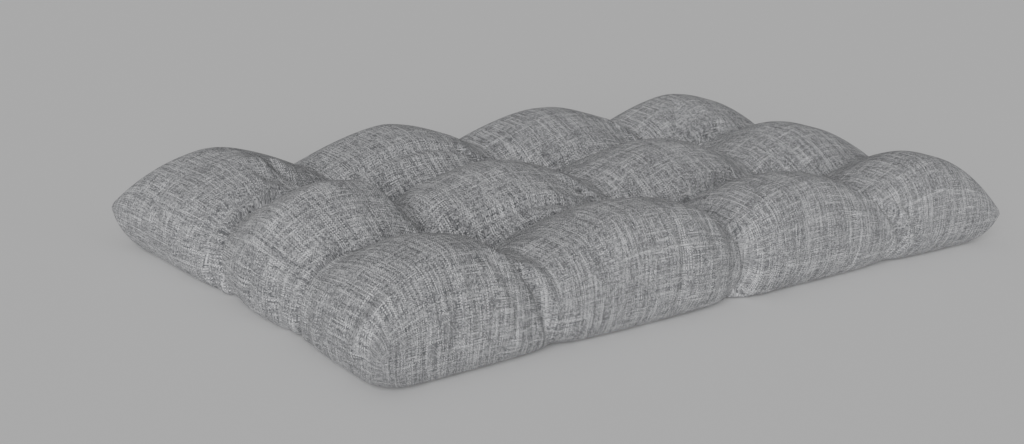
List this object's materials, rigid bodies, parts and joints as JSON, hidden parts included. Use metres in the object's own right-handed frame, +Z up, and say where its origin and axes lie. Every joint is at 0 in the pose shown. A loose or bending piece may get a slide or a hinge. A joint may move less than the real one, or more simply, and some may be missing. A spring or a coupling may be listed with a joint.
{
  "type": "tufted pallet cushion",
  "caption": "Rectangular tufted seat cushion of grey woven cloth, with domed lobes parted by sewn troughs and rounded sides, for a bench or pallet seat.",
  "frame": {"origin": "bottom centre of the cushion, on the surface it lies on", "axes": "+X along the length, +Y along the depth, +Z up through the thickness"},
  "size_m": [1.2, 0.6, 0.15],
  "materials": {
    "cloth": "grey melange plain weave with light and dark slubs, matt"
  },
  "bodies": {
    "root": {"cushion": "cloth"}
  },
  "joints": []
}
